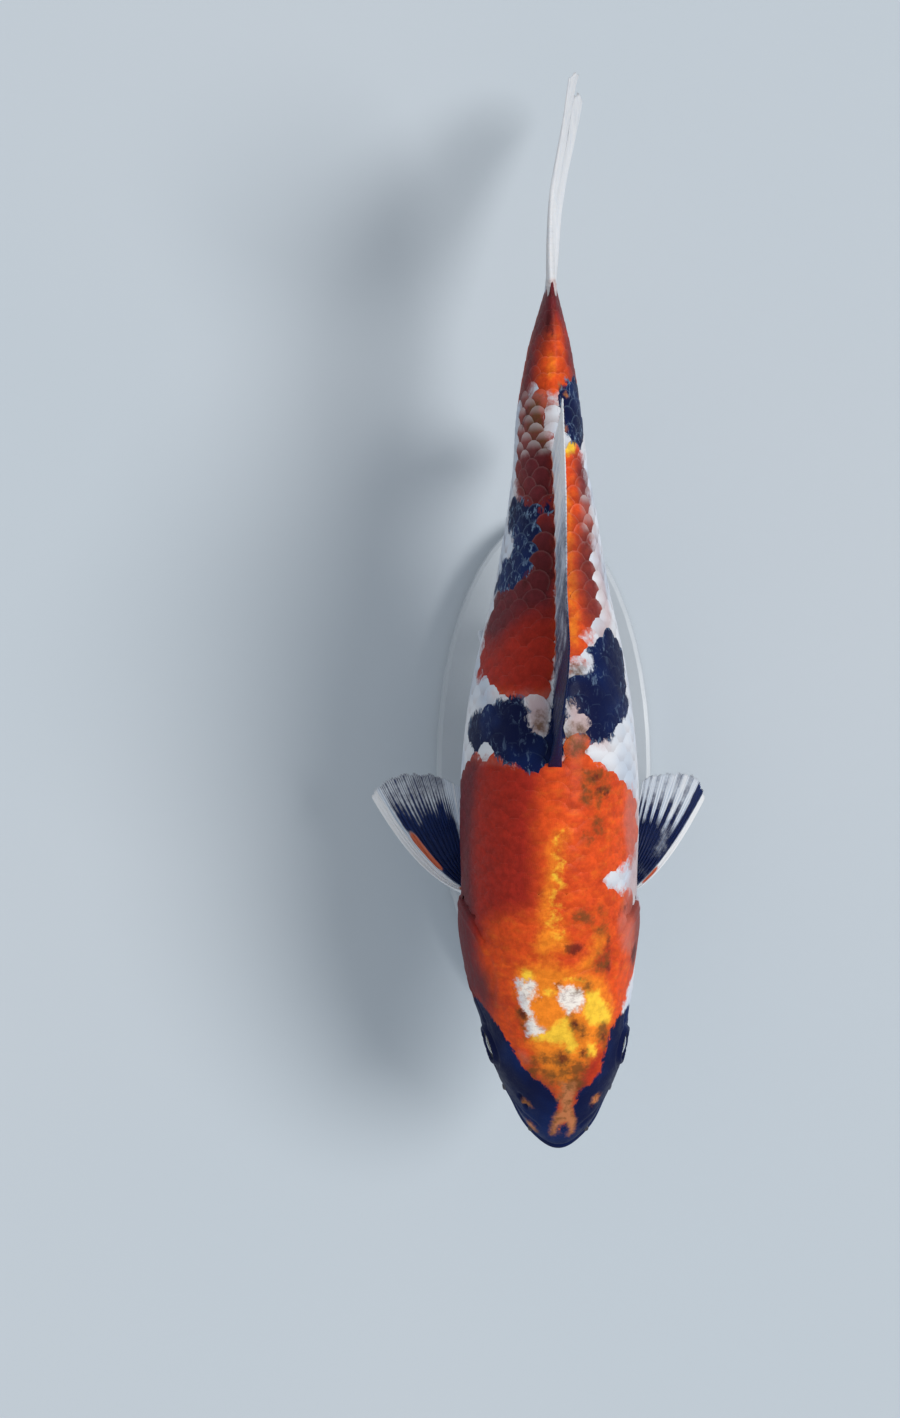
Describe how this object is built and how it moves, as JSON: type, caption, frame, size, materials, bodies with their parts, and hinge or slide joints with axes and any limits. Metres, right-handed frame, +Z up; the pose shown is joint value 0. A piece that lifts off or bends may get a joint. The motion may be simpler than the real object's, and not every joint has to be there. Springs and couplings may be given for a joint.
{
  "type": "koi carp",
  "caption": "Life-size koi carp in a swimming pose, orange and black on white, with spread fins and a gently bent tail, held over a flat oval display base by short rods.",
  "frame": {"origin": "centre of the display base's underside, on the surface that it stands on", "axes": "+Y towards the tail, so the head points along -Y; +Z up; the fish's left side is at +X"},
  "size_m": [0.1106, 0.3498, 0.1533],
  "materials": {
    "red_skin": "glossy",
    "black_skin": "glossy",
    "white_skin": "glossy",
    "fin_membrane": "glossy",
    "dark_fin_membrane": "glossy",
    "eye": "glossy",
    "stand_lacquer": "satin",
    "stand_steel": "brushed"
  },
  "bodies": {
    "root": {"head": "red_skin", "trunk": "red_skin", "tail_stalk": "red_skin", "gill_cover_left": "red_skin", "gill_cover_right": "red_skin", "lower_jaw": "black_skin", "barbel_lip_left": "black_skin", "barbel_lip_right": "black_skin", "barbel_corner_left": "black_skin", "barbel_corner_right": "black_skin", "eye_left": "eye", "eye_right": "eye", "pectoral_fin_left": "dark_fin_membrane", "pectoral_fin_right": "dark_fin_membrane", "pelvic_fin_left": "white_skin", "pelvic_fin_right": "white_skin", "dorsal_fin": "fin_membrane", "anal_fin": "fin_membrane", "tail_fin_upper": "fin_membrane", "tail_fin_lower": "fin_membrane", "stand_base": "stand_lacquer", "stand_rod_front": "stand_steel", "stand_rod_rear": "stand_steel"}
  },
  "joints": []
}
